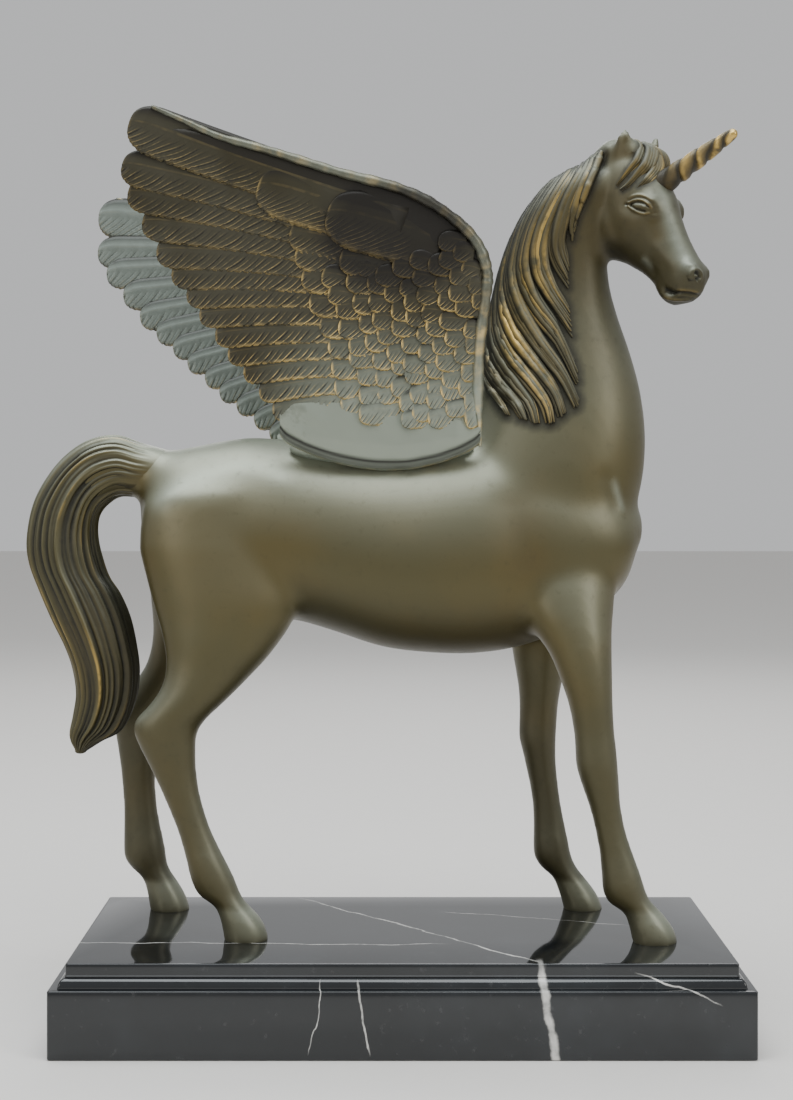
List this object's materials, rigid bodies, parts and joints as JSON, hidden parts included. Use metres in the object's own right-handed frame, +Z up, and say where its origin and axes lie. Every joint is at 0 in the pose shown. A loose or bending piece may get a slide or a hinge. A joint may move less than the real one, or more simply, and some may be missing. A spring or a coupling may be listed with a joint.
{
  "type": "pegasus figurine",
  "caption": "Cast bronze winged horse with a spiral horn, standing on a stepped black marble base, for a shelf or table.",
  "frame": {"origin": "middle of the marble base's underside", "axes": "+X the way the horse faces, +Y the horse's left, +Z up"},
  "size_m": [0.3546, 0.152, 0.4494],
  "materials": {
    "bronze": "waxed olive-brown patina on cast bronze",
    "wing_bronze": "dark patina, rubbed gold on the feathers' edges",
    "horn_bronze": "dark patina rubbed back to gold",
    "marble": "polished black stone with white veins",
    "steel": "plain threaded rod",
    "zinc": "zinc plated"
  },
  "bodies": {
    "root": {"base": "marble", "horse": "bronze", "wing_right": "wing_bronze", "wing_left": "wing_bronze", "horn": "horn_bronze", "stud_front_right": "steel", "stud_front_left": "steel", "stud_hind_right": "steel", "stud_hind_left": "steel", "washer_front_right": "zinc", "washer_front_left": "zinc", "washer_hind_right": "zinc", "washer_hind_left": "zinc", "nut_front_right": "zinc", "nut_front_left": "zinc", "nut_hind_right": "zinc", "nut_hind_left": "zinc"}
  },
  "joints": []
}
